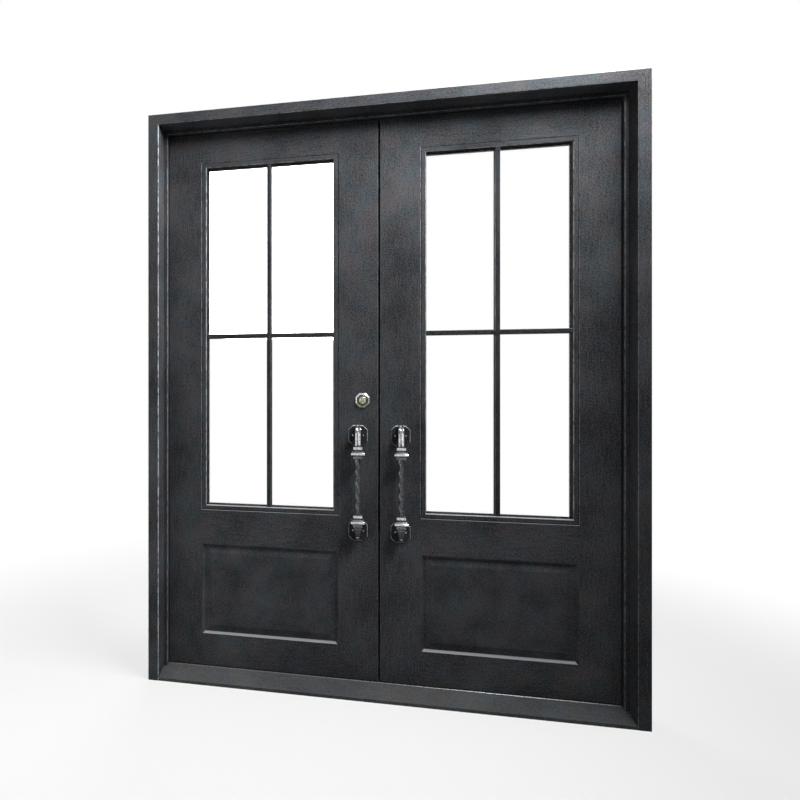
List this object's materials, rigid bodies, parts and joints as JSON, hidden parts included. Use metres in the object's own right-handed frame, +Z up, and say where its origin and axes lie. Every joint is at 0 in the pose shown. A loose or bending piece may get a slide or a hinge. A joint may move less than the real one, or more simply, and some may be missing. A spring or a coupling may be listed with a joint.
{
  "type": "french doors",
  "caption": "Steel double entry door in a tube frame: two glazed leaves with divided lights, raised bottom panels, twisted pull handles, a deadbolt and a sloped sill.",
  "frame": {"origin": "floor level, middle of the width, halfway between the frame's outer face and the inner pull handles", "axes": "+X along the wall to the right seen from outside, +Y from outside to inside, +Z up"},
  "size_m": [1.95, 0.229, 2.438],
  "materials": {
    "frame_steel": "satin charcoal paint, lightly brushed",
    "leaf_steel": "satin charcoal paint, lightly brushed",
    "glazing_steel": "satin charcoal paint",
    "sill_steel": "satin charcoal paint, rubbed",
    "pull_iron": "hammered iron, dark pewter paint",
    "hinge_steel": "satin charcoal paint",
    "lock_brass": "antique, pale",
    "lock_steel": "brushed",
    "clear_glass": "clear",
    "spacer_aluminium": "mill",
    "seal_rubber": "matt black"
  },
  "bodies": {
    "frame": {"head_jamb": "frame_steel", "head_stop": "frame_steel", "left_frame_hinges": "hinge_steel", "left_jamb": "frame_steel", "left_stop": "frame_steel", "right_frame_hinges": "hinge_steel", "right_jamb": "frame_steel", "right_stop": "frame_steel", "stop_seals": "seal_rubber", "threshold": "sill_steel"},
    "left_leaf": {"deadbolt_case": "lock_steel", "deadbolt_cylinder": "lock_brass", "deadbolt_inner_rosette": "lock_brass", "deadbolt_outer_rosette": "lock_brass", "left_bottom_rail": "leaf_steel", "left_glass": "clear_glass", "left_glass_spacer": "spacer_aluminium", "left_hinge_stile": "leaf_steel", "left_inner_bead": "glazing_steel", "left_inner_muntins": "glazing_steel", "left_inner_panel": "leaf_steel", "left_inner_pull": "pull_iron", "left_leaf_hinges": "hinge_steel", "left_lock_stile": "leaf_steel", "left_mid_rail": "leaf_steel", "left_outer_bead": "glazing_steel", "left_outer_muntins": "glazing_steel", "left_outer_panel": "leaf_steel", "left_outer_pull": "pull_iron", "left_pull_rosettes": "pull_iron", "left_sweep": "seal_rubber", "left_top_rail": "leaf_steel"},
    "right_leaf": {"deadbolt_strike": "lock_steel", "flush_bolt_plates": "lock_steel", "right_bottom_rail": "leaf_steel", "right_glass": "clear_glass", "right_glass_spacer": "spacer_aluminium", "right_hinge_stile": "leaf_steel", "right_inner_bead": "glazing_steel", "right_inner_muntins": "glazing_steel", "right_inner_panel": "leaf_steel", "right_inner_pull": "pull_iron", "right_leaf_hinges": "hinge_steel", "right_lock_stile": "leaf_steel", "right_meeting_seal": "seal_rubber", "right_mid_rail": "leaf_steel", "right_outer_bead": "glazing_steel", "right_outer_muntins": "glazing_steel", "right_outer_panel": "leaf_steel", "right_outer_pull": "pull_iron", "right_pull_rosettes": "pull_iron", "right_sweep": "seal_rubber", "right_top_rail": "leaf_steel"},
    "thumb_turn": {"deadbolt_thumb_turn": "lock_brass"},
    "deadbolt_bolt": {"deadbolt_bolt": "lock_steel"},
    "upper_flush_bolt": {"upper_flush_bolt": "lock_steel"},
    "lower_flush_bolt": {"lower_flush_bolt": "lock_steel"}
  },
  "joints": [
    {"name": "left_leaf_swing", "type": "hinge", "parent": "frame", "child": "left_leaf", "pos_m": [-0.92575, 0.0475, 1.2], "axis": [0, 0, 1], "range_deg": [0, 110]},
    {"name": "right_leaf_swing", "type": "hinge", "parent": "frame", "child": "right_leaf", "pos_m": [0.92575, 0.0475, 1.2], "axis": [0, 0, -1], "range_deg": [0, 110]},
    {"name": "thumb_turn_rotation", "type": "hinge", "parent": "left_leaf", "child": "thumb_turn", "pos_m": [-0.0675, 0.0355, 1.208], "axis": [0, 1, 0], "range_deg": [0, 90]},
    {"name": "deadbolt_throw", "type": "slide", "parent": "left_leaf", "child": "deadbolt_bolt", "axis": [1, 0, 0], "range_m": [0, 0.025]},
    {"name": "upper_flush_bolt_slide", "type": "slide", "parent": "right_leaf", "child": "upper_flush_bolt", "axis": [0, 0, 1], "range_m": [0, 0.02]},
    {"name": "lower_flush_bolt_slide", "type": "slide", "parent": "right_leaf", "child": "lower_flush_bolt", "axis": [0, 0, -1], "range_m": [0, 0.02]}
  ],
  "couplings": [
    {"joint": "deadbolt_throw", "follows": "thumb_turn_rotation", "m_per_rad": 0.015915}
  ]
}
